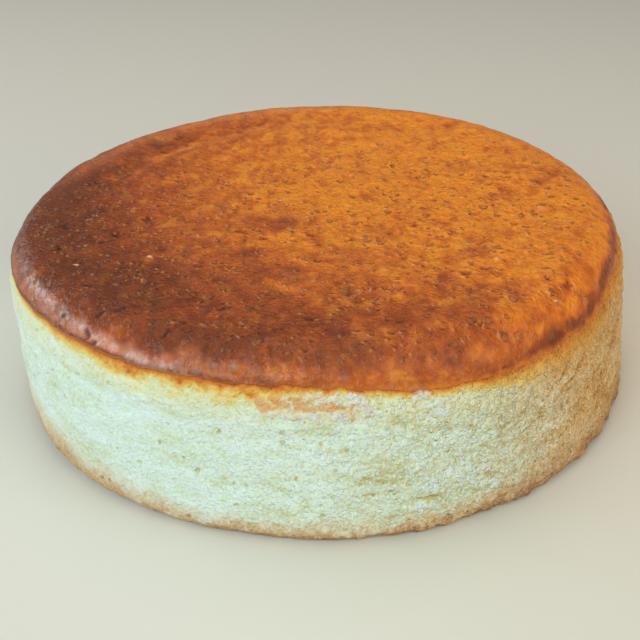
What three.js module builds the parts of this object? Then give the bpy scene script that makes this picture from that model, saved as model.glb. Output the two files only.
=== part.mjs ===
import * as THREE from 'three';

/*
 * A whole souffle cheesecake, baked in an 18 cm tin and turned out.
 *
 * Millimetres, +Z up, standing on Z = 0 with the middle of its outline on the Z axis.
 * The cake is uncut, so it is one closed solid. Its surface is a stack of rings that runs
 * from the middle of the base, out and up the side, over the shoulder, to the middle of
 * the top. Angles are in degrees, from +X towards +Y.
 */

// Overall form
const BASE_RADIUS = 90;
const SIDE_RADIUS = 89; // where the shoulder starts
const HEIGHT = 51;
const BASE_ROUNDING = 2.8;

// The shoulder is a quarter of a superellipse: power 2 is round, more is squarer
const SHOULDER_START = 32;
const SHOULDER_WIDTH = 15;
const SHOULDER_POWER = 2.5;

// A soft cake settles: the top sits a little to one side, slopes and sags
const LEAN_X = -3.0;
const LEAN_Y = 1.2;
const SLOPE_ALONG_X = 0.009; // rise for each mm towards +X
const SAG = 1.4;
const TROUGH_DEPTH = 0.5; // shallow ring just inside the shoulder
const TROUGH_RADIUS = 66;
const TROUGH_WIDTH = 7;

// The outline isn't a true circle: how many waves go round, how high, and where one peaks
const OUTLINE_WAVES = [
  { count: 2, size: 0.35, peak: 25 },
  { count: 3, size: 0.3, peak: 70 },
  { count: 5, size: 0.2, peak: 10 },
  { count: 9, size: 0.12, peak: 33 },
];

// The browned skin ends in a thin lip part of the way down the shoulder. These are the
// heights of its lower edge, evenly spaced round the cake from +X.
const SKIN_EDGE_HEIGHTS = [
  44.8, 42.6, 41.2, 42.4, 43.6, 42.8, 41.0, 42.2, 42.8, 43.2, 44.0, 43.6, 43.6, 39.9, 38.8, 42.8,
];
const SKIN_LIP = 0.7;
const SKIN_LIP_RISE = 0.9;

// Shallow folds lie across the crumb where the cake has settled in its tin
const SIDE_FOLDS = [
  { angle: 227, height: 34, depth: 0.9, halfAngle: 16, halfHeight: 1.6 },
  { angle: 268, height: 30, depth: 0.5, halfAngle: 14, halfHeight: 2.2 },
  { angle: 318, height: 22, depth: 0.5, halfAngle: 18, halfHeight: 2.4 },
  { angle: 20, height: 27, depth: 0.6, halfAngle: 20, halfHeight: 2.2 },
  { angle: 95, height: 33, depth: 0.7, halfAngle: 15, halfHeight: 1.9 },
  { angle: 150, height: 18, depth: 0.5, halfAngle: 17, halfHeight: 2.4 },
];

// How finely the surface is divided
const SEGMENTS = 96;
const CORNER_RINGS = 3;
const SIDE_RINGS = 9;
const CRUMB_SHOULDER_RINGS = 4;
const SKIN_SHOULDER_RINGS = 6;
const TOP_RINGS = 9;

const CRUST_COLOUR = '#b9702f';
const ROUGHNESS = 0.55;

const FULL_TURN = 360;
const QUARTER_TURN = Math.PI / 2;
const SHOULDER_HEIGHT = HEIGHT - SHOULDER_START;
const TOP_RADIUS = SIDE_RADIUS - SHOULDER_WIDTH;

/** The shorter way round from one angle to another, -180 to 180. */
function angleBetween(from, to) {
  return THREE.MathUtils.euclideanModulo(to - from + FULL_TURN / 2, FULL_TURN) - FULL_TURN / 2;
}

/** Smooth hump: 1 at 0, gone by about two widths. */
function hump(distance, width) {
  return Math.exp(-((distance / width) ** 2));
}

/** How far the outline stands out of its circle. */
function outlineWave(angle) {
  return OUTLINE_WAVES.reduce(
    (sum, wave) => sum + wave.size * Math.cos(THREE.MathUtils.degToRad(wave.count * (angle - wave.peak))),
    0,
  );
}

/** Height of the skin's lower edge, eased from each given height to the next. */
function skinEdge(angle) {
  const count = SKIN_EDGE_HEIGHTS.length;
  const place = (angle / FULL_TURN) * count;
  const before = Math.floor(place);
  const heightBefore = SKIN_EDGE_HEIGHTS[before % count];
  const heightAfter = SKIN_EDGE_HEIGHTS[(before + 1) % count];
  return THREE.MathUtils.lerp(heightBefore, heightAfter, THREE.MathUtils.smoothstep(place - before, 0, 1));
}

/** Depth of the folds at a place on the side. */
function foldDepth(angle, height) {
  return SIDE_FOLDS.reduce((sum, fold) => {
    const across = hump(angleBetween(fold.angle, angle), fold.halfAngle);
    return sum + fold.depth * across * hump(height - fold.height, fold.halfHeight);
  }, 0);
}

/** Radius and height on the shoulder; turn runs from 0 at its foot to a quarter turn at the top. */
function onShoulder(turn) {
  const exponent = 2 / SHOULDER_POWER;
  return {
    radius: TOP_RADIUS + SHOULDER_WIDTH * Math.cos(turn) ** exponent,
    height: SHOULDER_START + SHOULDER_HEIGHT * Math.sin(turn) ** exponent,
  };
}

/** The turn at which the shoulder reaches a height. */
function shoulderTurn(height) {
  const rise = (height - SHOULDER_START) / SHOULDER_HEIGHT;
  return Math.asin(rise ** (SHOULDER_POWER / 2));
}

/** Each ring is a function from an angle to a radius and a height. These are the base's. */
function baseRings() {
  const flatRadius = BASE_RADIUS - BASE_ROUNDING;
  const rings = [() => ({ radius: flatRadius / 2, height: 0 })];
  for (let i = 0; i <= CORNER_RINGS; i++) {
    const turn = (i / CORNER_RINGS) * QUARTER_TURN;
    rings.push(() => ({
      radius: flatRadius + BASE_ROUNDING * Math.sin(turn),
      height: BASE_ROUNDING * (1 - Math.cos(turn)),
    }));
  }
  return rings;
}

function sideRings() {
  const rings = [];
  for (let i = 1; i <= SIDE_RINGS; i++) {
    const share = i / SIDE_RINGS;
    const height = THREE.MathUtils.lerp(BASE_ROUNDING, SHOULDER_START, share);
    const radius = THREE.MathUtils.lerp(BASE_RADIUS, SIDE_RADIUS, share);
    rings.push((angle) => ({ radius: radius - foldDepth(angle, height), height }));
  }
  return rings;
}

/** The shoulder's rings follow the skin's edge, so that the lip is one clean step. */
function shoulderRings() {
  const rings = [];
  for (let i = 1; i <= CRUMB_SHOULDER_RINGS; i++) {
    rings.push((angle) => {
      const point = onShoulder(shoulderTurn(skinEdge(angle)) * (i / CRUMB_SHOULDER_RINGS));
      return { radius: point.radius - foldDepth(angle, point.height), height: point.height };
    });
  }
  for (let i = 0; i <= SKIN_SHOULDER_RINGS; i++) {
    rings.push((angle) => {
      const start = shoulderTurn(skinEdge(angle) + SKIN_LIP_RISE);
      const share = i / SKIN_SHOULDER_RINGS;
      const point = onShoulder(THREE.MathUtils.lerp(start, QUARTER_TURN, share));
      return { radius: point.radius + SKIN_LIP * (1 - share) ** 2, height: point.height };
    });
  }
  return rings;
}

function topHeight(radius) {
  const sag = SAG * (1 - (radius / TOP_RADIUS) ** 2) ** 2;
  return HEIGHT - sag - TROUGH_DEPTH * hump(radius - TROUGH_RADIUS, TROUGH_WIDTH);
}

function topRings() {
  const rings = [];
  for (let i = 1; i < TOP_RINGS; i++) {
    const radius = TOP_RADIUS * (1 - i / TOP_RINGS);
    rings.push(() => ({ radius, height: topHeight(radius) }));
  }
  return rings;
}

/** Puts a place of the round form where the settled cake has it. */
function settled(angle, radius, height) {
  const turn = THREE.MathUtils.degToRad(angle);
  const share = height / HEIGHT;
  const wavy = radius + outlineWave(angle) * (radius / BASE_RADIUS);
  const x = wavy * Math.cos(turn);
  const y = wavy * Math.sin(turn);
  return new THREE.Vector3(x + LEAN_X * share, y + LEAN_Y * share, height + SLOPE_ALONG_X * x * share);
}

function cheesecakeGeometry() {
  const rings = [...baseRings(), ...sideRings(), ...shoulderRings(), ...topRings()];
  const points = [settled(0, 0, 0)];
  for (const ring of rings) {
    for (let i = 0; i < SEGMENTS; i++) {
      const angle = (i / SEGMENTS) * FULL_TURN;
      const { radius, height } = ring(angle);
      points.push(settled(angle, radius, height));
    }
  }
  points.push(settled(0, 0, topHeight(0)));

  const lastPoint = points.length - 1;
  const pointOn = (ring, i) => 1 + ring * SEGMENTS + (i % SEGMENTS);
  const triangles = [];
  for (let i = 0; i < SEGMENTS; i++) {
    triangles.push(0, pointOn(0, i + 1), pointOn(0, i));
    for (let ring = 1; ring < rings.length; ring++) {
      triangles.push(pointOn(ring - 1, i), pointOn(ring - 1, i + 1), pointOn(ring, i + 1));
      triangles.push(pointOn(ring - 1, i), pointOn(ring, i + 1), pointOn(ring, i));
    }
    triangles.push(pointOn(rings.length - 1, i), pointOn(rings.length - 1, i + 1), lastPoint);
  }

  const geometry = new THREE.BufferGeometry().setFromPoints(points);
  geometry.setIndex(triangles);
  geometry.computeBoundingBox();
  const middle = geometry.boundingBox.getCenter(new THREE.Vector3());
  geometry.translate(-middle.x, -middle.y, 0);
  geometry.computeVertexNormals();
  return geometry;
}

const crust = new THREE.MeshStandardMaterial({ color: CRUST_COLOUR, roughness: ROUGHNESS, metalness: 0 });
const cheesecake = new THREE.Mesh(cheesecakeGeometry(), crust);
cheesecake.name = 'cheesecake';

const part = new THREE.Group();
part.add(cheesecake);

export default part;
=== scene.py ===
"""Looks of a whole souffle cheesecake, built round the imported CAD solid.

Two closed meshes stand for the one CAD solid: the pale crumb, and the thin browned skin that
caps it. Both start from the same round form as the CAD, then get relief: pits, pores, folds,
flakes and grain. Lengths are in millimetres until a mesh is made, angles in degrees from +X
towards +Y. A place on the cake is an angle and a way: the distance along the outline, from the
middle of the base, out and up the side, to the middle of the top.
"""

import math
from itertools import product

import bpy
import numpy as np
from mathutils import Matrix, Vector


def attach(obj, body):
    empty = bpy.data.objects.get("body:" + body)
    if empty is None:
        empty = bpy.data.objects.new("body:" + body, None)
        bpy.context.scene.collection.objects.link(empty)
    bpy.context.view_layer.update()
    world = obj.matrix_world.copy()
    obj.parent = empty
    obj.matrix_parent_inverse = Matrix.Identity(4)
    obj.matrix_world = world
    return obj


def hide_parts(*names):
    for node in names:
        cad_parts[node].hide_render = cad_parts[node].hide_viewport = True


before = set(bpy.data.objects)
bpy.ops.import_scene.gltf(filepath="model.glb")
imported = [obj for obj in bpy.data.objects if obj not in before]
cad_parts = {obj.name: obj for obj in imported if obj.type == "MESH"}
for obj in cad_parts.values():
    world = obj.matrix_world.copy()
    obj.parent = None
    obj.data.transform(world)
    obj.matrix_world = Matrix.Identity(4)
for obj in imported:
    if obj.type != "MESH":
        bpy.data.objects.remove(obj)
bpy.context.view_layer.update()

MM = 0.001

# ---- the round form, as in the CAD
BASE_RADIUS = 90
SIDE_RADIUS = 89
HEIGHT = 51
BASE_ROUNDING = 2.8
SHOULDER_START = 32
SHOULDER_WIDTH = 15
SHOULDER_POWER = 2.5
TOP_RADIUS = SIDE_RADIUS - SHOULDER_WIDTH
LEAN = (-3.0, 1.2)
SLOPE_ALONG_X = 0.009
SAG = 1.4
TROUGH_DEPTH = 0.5
TROUGH_RADIUS = 66
TROUGH_WIDTH = 7
TOP_FADE = (14, 24)  # how far past the shoulder's start the top's own form sets in
FOLD_FADE = 3  # how far above the foot the side's folds set in
OUTLINE_WAVES = ((2, 0.35, 25), (3, 0.3, 70), (5, 0.2, 10), (9, 0.12, 33))  # count, size, peak
SKIN_EDGE_HEIGHTS = (
    44.8, 42.6, 41.2, 42.4, 43.6, 42.8, 41.0, 42.2, 42.8, 43.2, 44.0, 43.6, 43.6, 39.9, 38.8, 42.8,
)
SIDE_FOLDS = (  # angle, height, depth, half angle, half height
    (227, 34, 0.9, 16, 1.6),
    (268, 30, 0.5, 14, 2.2),
    (318, 22, 0.5, 18, 2.4),
    (20, 27, 0.6, 20, 2.2),
    (95, 33, 0.7, 15, 1.9),
    (150, 18, 0.5, 17, 2.4),
)
# The skin's edge rises at one place, and is raggeder at two: angle, half angle, size
EDGE_RISES = ((312, 7, 1.2),)
LEAST_RAGGED = 0.25
RAGGED_EDGE = ((268, 14, 0.55), (318, 16, 0.4))

# ---- mesh fineness, and what is hidden between skin and crumb
SKIN_RINGS = 172
LIP_GAPS = (0.9, 0.6, 0.36, 0.18, 0.06, 0.0)  # distances of the lip's rings from the skin's edge
CRUMB_SEGMENTS = 1056
CRUMB_ROWS = 90
SMALLEST_RING = 60
SKIN_THICKNESS = 2.8
SKIN_INNER_START = 0.8  # how far in from the edge the skin's inner face starts
CRUMB_UNDER_SKIN = 2.0
CRUMB_PAST_EDGE = 0.9  # how far the crumb's side goes on under the skin
SIDE_BEFORE_FOOT = 1.2  # how far in on the base the crumb's side starts
TUCK_DEPTH = 0.9  # how far the crumb draws back under the skin's edge
HIDDEN_HEIGHT = 46.0  # where the faces hidden between skin and crumb turn inwards

# ---- parts of the cake: the angle each faces, how far off it that part ends, and is still whole
FRONT_RIGHT = (318, 60, 20)
FRONT_LEFT = (218, 50, 22)
BACK = (125, 55, 25)
DEEP_TROUGH = (125, 60, 20)
BACK_LEFT = (155, 40, 15)
FRONT = (266, 42, 24)
GLINTING = (225, 90, 35)
MOIST = (226, 42, 22)
SHINY = (225, 31, 16)
DARK_RIM = (345, 75, 15)
CRUMB_RIGHT = (318, 62, 22)
FINE_CRUMB = (212, 58, 24)
COARSE_CRUMB = (314, 50, 16)
CREASED = (320, 62, 30)
FOLDED = (222, 42, 14)
TOASTED_FRONT = (250, 20, 8)
TOASTED_RIGHT = (328, 38, 14)
BARE_FRONT = (284, 17, 8)
BARE_LEFT = (198, 30, 16)
TALL_FOOT_LEFT = (212, 42, 15)
TALL_FOOT_RIGHT = (322, 45, 20)
FAINT_FOOT = (218, 42, 20)
TAN_RIGHT = (345, 62, 10)
TAN_BACK = (80, 100, 58)
# Where the side facing the key lamp is painted whiter
PAINTED_LIT_FRONT = (248, 24, 8)

# ---- noise: the number after a noise's size is its seed
NOISE_TABLE = 256
NOISE_WRAP = NOISE_TABLE - 1
NOISE_GAIN = 1.7  # brings gradient noise to about -1 to 1
GRADIENT_SEEDS = 1000
CELL_SEEDS = 2000
FAR_CELL = 9.0


def lattice_numbers(spot, seed):
    """A number from 0 to 255 for every whole-numbered place, well mixed."""
    order = np.random.default_rng(seed).permutation(NOISE_TABLE)
    x, y, z = (spot & NOISE_WRAP).T
    return order[(order[(order[x] + y) & NOISE_WRAP] + z) & NOISE_WRAP]


def gradient_noise(points, size, seed):
    """Smooth noise, about -1 to 1, with features about `size` mm apart (one number or three)."""
    rng = np.random.default_rng(seed + GRADIENT_SEEDS)
    gradients = rng.normal(size=(NOISE_TABLE, 3))
    gradients /= np.linalg.norm(gradients, axis=1, keepdims=True)
    place = points / np.asarray(size, float) + rng.uniform(0, NOISE_TABLE, 3)
    cell = np.floor(place).astype(int)
    inside = place - cell
    eased = inside ** 3 * (inside * (inside * 6 - 15) + 10)
    total = np.zeros(len(points))
    for corner in product((0, 1), repeat=3):
        gradient = gradients[lattice_numbers(cell + corner, seed)]
        weight = np.where(corner, eased, 1 - eased).prod(axis=1)
        total += weight * ((inside - corner) * gradient).sum(axis=1)
    return total * NOISE_GAIN


def fractal(points, size, seed, octaves=3, fade=0.5):
    """Gradient noise with finer and fainter noise added."""
    total = np.zeros(len(points))
    for i in range(octaves):
        total += fade ** i * gradient_noise(points, np.asarray(size, float) / 2 ** i, seed + i)
    return total


def warped(points, size, amount, seed):
    """Points pushed about by noise, so that what is drawn on them is less regular."""
    push = [gradient_noise(points, size, seed + i) for i in range(3)]
    return points + amount * np.stack(push, axis=1)


def cells(points, size, seed):
    """Scattered centres about `size` mm apart: distance to the nearest, how much further the
    next one is, both in mm of the first size, and the nearest one's own number, 0 to 1."""
    rng = np.random.default_rng(seed + CELL_SEEDS)
    jitter = rng.uniform(size=(NOISE_TABLE, 3))
    own = rng.uniform(size=NOISE_TABLE)
    size = np.asarray(size, float) * np.ones(3)
    place = points / size + rng.uniform(0, NOISE_TABLE, 3)
    cell = np.floor(place).astype(int)
    nearest = np.full(len(points), FAR_CELL)
    second = np.full(len(points), FAR_CELL)
    number = np.zeros(len(points))
    for step in product((-1, 0, 1), repeat=3):
        index = lattice_numbers(cell + step, seed)
        distance = np.linalg.norm(cell + step + jitter[index] - place, axis=1)
        closer = distance < nearest
        second = np.where(closer, nearest, np.minimum(second, distance))
        number = np.where(closer, own[index], number)
        nearest = np.minimum(nearest, distance)
    return nearest * size[0], (second - nearest) * size[0], number


def chosen(number, share):
    """0 for the cells that have nothing; 0 to 1 for the `share` of them that have something."""
    return np.clip((number - 1 + share) / np.maximum(share, 0.01), 0, 1)


def smoothstep(value, low, high):
    share = np.clip((value - low) / (high - low), 0, 1)
    return share * share * (3 - 2 * share)


def fading(value, whole, gone):
    """1 up to one value, then down to 0 at the other."""
    return 1 - smoothstep(value, whole, gone)


def hump(distance, width):
    return np.exp(-((distance / width) ** 2))


def angle_between(start, end):
    return (end - start + 180) % 360 - 180


def facing(angle, part):
    """How much an angle belongs to a part of the cake, 0 to 1."""
    middle, end, whole = part
    return fading(np.abs(angle_between(middle, angle)), whole, end)


def peaks(angle, rows):
    """The sum of humps round the cake: angle, half angle and size of each."""
    return sum(size * hump(angle_between(middle, angle), half) for middle, half, size in rows)


# ---- places on the round form
def outline_wave(angle):
    return sum(size * np.cos(np.radians(count * (angle - peak))) for count, size, peak in OUTLINE_WAVES)


def ring_values(values, angle):
    """Values given evenly round the cake, eased from each one to the next."""
    values = np.asarray(values, float)
    place = (angle % 360) / 360 * len(values)
    before = np.floor(place).astype(int) % len(values)
    after = (before + 1) % len(values)
    return values[before] + (values[after] - values[before]) * smoothstep(place % 1, 0, 1)


def fold_depth(angle, height):
    return sum(
        deep * hump(angle_between(middle, angle), half_angle) * hump(height - level, half_height)
        for middle, level, deep, half_angle, half_height in SIDE_FOLDS
    )


def meridian():
    """The outline in one upright plane, from the middle of the base to the middle of the top."""
    quarter = np.linspace(0, math.pi / 2, 60)
    fine_quarter = np.linspace(0, math.pi / 2, 600)
    exponent = 2 / SHOULDER_POWER
    flat_radius = BASE_RADIUS - BASE_ROUNDING
    foot = (flat_radius + BASE_ROUNDING * np.sin(quarter), BASE_ROUNDING * (1 - np.cos(quarter)))
    shoulder = (
        TOP_RADIUS + SHOULDER_WIDTH * np.cos(fine_quarter) ** exponent,
        SHOULDER_START + (HEIGHT - SHOULDER_START) * np.sin(fine_quarter) ** exponent,
    )
    across = np.linspace(TOP_RADIUS, 0, 200)[1:]
    top = (across, HEIGHT - SAG * (1 - (across / TOP_RADIUS) ** 2) ** 2)
    radius = np.concatenate(([0], foot[0], shoulder[0], top[0]))
    height = np.concatenate(([0], foot[1], shoulder[1], top[1]))
    along = np.concatenate(([0], np.cumsum(np.hypot(np.diff(radius), np.diff(height)))))
    return along, radius, height


ALONG, RADII, HEIGHTS = meridian()
WHOLE_WAY = ALONG[-1]
SIDE_WAY = ALONG[np.argmax(HEIGHTS >= SHOULDER_START)]  # where the shoulder starts
FOOT_WAY = BASE_RADIUS - BASE_ROUNDING  # where the flat base ends


def way_at_height(height):
    """The way at which the wall or shoulder reaches a height."""
    rising = (ALONG >= FOOT_WAY) & (RADII >= TOP_RADIUS)
    return np.interp(height, HEIGHTS[rising], ALONG[rising])


def height_at_radius(radius):
    """The height of the top or shoulder at a distance from the axis."""
    above = ALONG >= SIDE_WAY
    return np.interp(radius, RADII[above][::-1], HEIGHTS[above][::-1])


def on_meridian(way):
    """Radius, height, and the outward direction there as (radial, upward)."""
    step = 0.4
    radius = np.interp(way, ALONG, RADII)
    height = np.interp(way, ALONG, HEIGHTS)
    run = np.interp(way + step, ALONG, RADII) - np.interp(way - step, ALONG, RADII)
    rise = np.interp(way + step, ALONG, HEIGHTS) - np.interp(way - step, ALONG, HEIGHTS)
    length = np.maximum(np.hypot(run, rise), 1e-6)
    return radius, height, rise / length, -run / length


def around(angle, radius, height):
    """Points at a radius and a height."""
    turn = np.radians(angle)
    return np.stack((radius * np.cos(turn), radius * np.sin(turn), height + 0 * turn), axis=1)


def round_places(angle, way):
    """Places on the round form, before it settles, for noise and distances."""
    radius, height, _, _ = on_meridian(way)
    return around(angle, radius, height)


def settled(angle, way, proud):
    """Places on the settled cake, `proud` mm out from its smooth surface."""
    radius, height, outward, upward = on_meridian(way)
    radius = radius + outline_wave(angle) * (radius / BASE_RADIUS)
    on_top = smoothstep(way, *(SIDE_WAY + fade for fade in TOP_FADE))
    wall = smoothstep(way, FOOT_WAY, FOOT_WAY + FOLD_FADE) * (1 - on_top)
    proud = proud - wall * fold_depth(angle, height)
    trough = TROUGH_DEPTH * (1 + facing(angle, DEEP_TROUGH))
    height = height + upward * proud - on_top * trough * hump(radius - TROUGH_RADIUS, TROUGH_WIDTH)
    places = around(angle, radius + outward * proud, height)
    share = places[:, 2] / HEIGHT
    places[:, 2] += SLOPE_ALONG_X * places[:, 0] * share
    places[:, 0] += LEAN[0] * share
    places[:, 1] += LEAN[1] * share
    return places


def outline_middle():
    """Middle of the smooth form's box, which the CAD puts on the Z axis."""
    angle, way = np.meshgrid(np.arange(0, 360, 1.0), np.linspace(FOOT_WAY, WHOLE_WAY, 120))
    places = settled(angle.ravel(), way.ravel(), 0)
    return (places.min(axis=0) + places.max(axis=0)) / 2 * (1, 1, 0)


MIDDLE = outline_middle()


def skin_edge_way(angle):
    """Where the browned skin ends; ragged where it has torn at the front and the right."""
    height = ring_values(SKIN_EDGE_HEIGHTS, angle) + peaks(angle, EDGE_RISES)
    ragged = LEAST_RAGGED + peaks(angle, RAGGED_EDGE)
    circle = around(angle, SIDE_RADIUS, 0)
    return way_at_height(height + ragged * fractal(circle, 7, 41, octaves=4, fade=0.7))


class Surface:
    """Points of the cake's surface, with what is worked out at each of them."""

    def __init__(self, angle, way):
        self.angle = angle
        self.way = way
        self.round = round_places(angle, way)

    def at(self, part):
        """How much each point belongs to a part of the cake, 0 to 1."""
        return facing(self.angle, part)

    def noise(self, size, seed, octaves=2, fade=0.5):
        return fractal(self.round, size, seed, octaves, fade)


# ---- the skin's relief and masks
DARKEST_ANGLE = 205
SINGLE_STRENGTH = 1.3
RIM_HEIGHT = 0.4  # of the rim round a pit or blister, as a share of its own depth or height
# How strongly a pit's raised rim is painted with a caramel highlight
RIM_HIGHLIGHT = 0.65
# A shallow hollow in front of the middle: x, y, radius, depth
HOLLOW = (-11, -14, 8, 0.5)
# Where the skin is browner than elsewhere: x, y, half width, half depth, amount (minus is paler)
BROWN_PATCHES = (
    (-47, -45, 15, 9, 0.15),
    (-46, -67, 15, 6, -0.27),
    (-64, -48, 6, 6, -0.09),
    (-28, -62, 20, 9, 0.12),
    (-64, -6, 11, 20, 0.12),
    (-10, -12, 9, 5, 0.52),
    (-18, -32, 5, 4, 0.40),
    (-12, -45, 13, 6, 0.27),
    (24, -13, 11, 6, 0.21),
    (36, -56, 17, 7, 0.15),
    (15, -70, 24, 8, 0.22),
    (58, -14, 13, 9, -0.08),
    (50, -48, 11, 16, -0.10),
    (53, 1, 6, 5, 0.22),
    (72, 13, 12, 5, 0.25),
    (-42, 50, 24, 6, 0.10),
    (-8, -22, 4, 3, -0.28),
    (-6, -52, 4, 3, -0.34),
)
# Single dark pits, drawn out along a direction: x, y, radius, depth, length, direction
SINGLE_PITS = (
    (52, 7, 1.2, 0.5, 0.3, 0),
    (28, -18, 1.1, 0.4, 0.6, 20),
    (24, 0, 1.0, 0.4, 0.3, 0),
    (39, -47, 1.3, 0.6, 0.5, 10),
    (44, -45, 0.8, 0.3, 1.0, 150),
    (64, -52, 1.2, 0.6, 0.8, 50),
    (10, -26, 0.9, 0.4, 0.6, 0),
    (-1, -21, 1.1, 0.5, 0.3, 0),
    (-14, -23, 1.1, 0.5, 0.3, 0),
    (-20, -19, 1.2, 0.5, 1.4, 170),
    (-30, -39, 1.0, 0.5, 0.5, 0),
    (-1, -68, 1.2, 0.6, 0.6, 120),
    (-22, -62, 1.2, 0.6, 0.6, 0),
    (-35, -72, 1.0, 0.5, 1.2, 60),
    (-31, -69, 0.9, 0.4, 0.5, 0),
    (-47, -61, 1.0, 0.6, 1.8, 10),
    (-52, -61, 0.5, 0.4, 4.0, 35),
    (-55, -65, 0.9, 0.6, 1.5, 110),
    (-53, -68, 0.8, 0.5, 0.8, 20),
    (-62, -58, 0.9, 0.5, 1.2, 60),
    (-57, -49, 1.0, 0.5, 0.6, 0),
    (-58, -24, 0.9, 0.4, 0.5, 0),
    (-69, -28, 1.2, 0.6, 1.0, 30),
    (-70, -14, 1.1, 0.5, 0.6, 0),
    (-55, -20, 0.9, 0.4, 0.6, 0),
    (-47, -11, 1.0, 0.4, 0.5, 0),
)
# Single pale chips, their colour also a painted sparkle: x, y, radius, height, length, direction
SINGLE_CHIPS = (
    (64, -20, 0.5, 0.3, 0.8, 160),
    (71, -20, 0.5, 0.3, 0.6, 20),
    (76, -24, 0.5, 0.2, 0.5, 0),
    (48, -40, 0.5, 0.3, 0.5, 100),
    (47, -33, 0.5, 0.2, 0.5, 60),
    (60, -58, 0.5, 0.2, 0.8, 40),
    (61, -52, 0.4, 0.2, 0.8, 140),
    (58, -54, 0.4, 0.2, 0.4, 20),
    (56, -57, 0.4, 0.2, 0.6, 60),
    (53, -58, 0.4, 0.2, 0.3, 0),
    (50, -60, 0.4, 0.2, 0.6, 160),
    (-63, -37, 0.6, 0.4, 2.0, 20),
    (-43, -35, 0.6, 0.4, 1.2, 170),
    (-56, -37, 0.4, 0.2, 0.5, 0),
    (-28, -31, 0.4, 0.2, 0.6, 0),
)
# Blisters near the edge, their domes painted with a lilac-grey highlight and the sunken ring round them
# with painted shade: x, y, radius, height
BLISTERS = (
    (-31, -80, 1.4, 0.6),
    (-18, -83, 1.5, 0.6),
    (-23, -82, 0.9, 0.4),
    (7, -86, 1.0, 0.4),
    (-71, -47, 1.3, 0.4),
    (44, 76, 1.4, 0.5),
    (-52, 70, 1.4, 0.5),
)
# Scattered pits, and below them chips: distance apart, radius, depth, share that exist, strength
PIT_SIZES = (
    (8.0, 1.15, 0.36, 0.45, 0.8),
    (4.6, 0.85, 0.26, 0.50, 0.65),
    (2.9, 0.65, 0.16, 0.55, 0.5),
)
CHIP_SIZES = ((5.0, 0.50, 0.18, 0.30, 0.8), (2.6, 0.42, 0.14, 0.35, 0.7))


def crater(distance, radius):
    """A hollow and the raised rim round it, both 0 to 1."""
    return hump(distance, radius), hump(distance - 1.5 * radius, 0.45 * radius)


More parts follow.
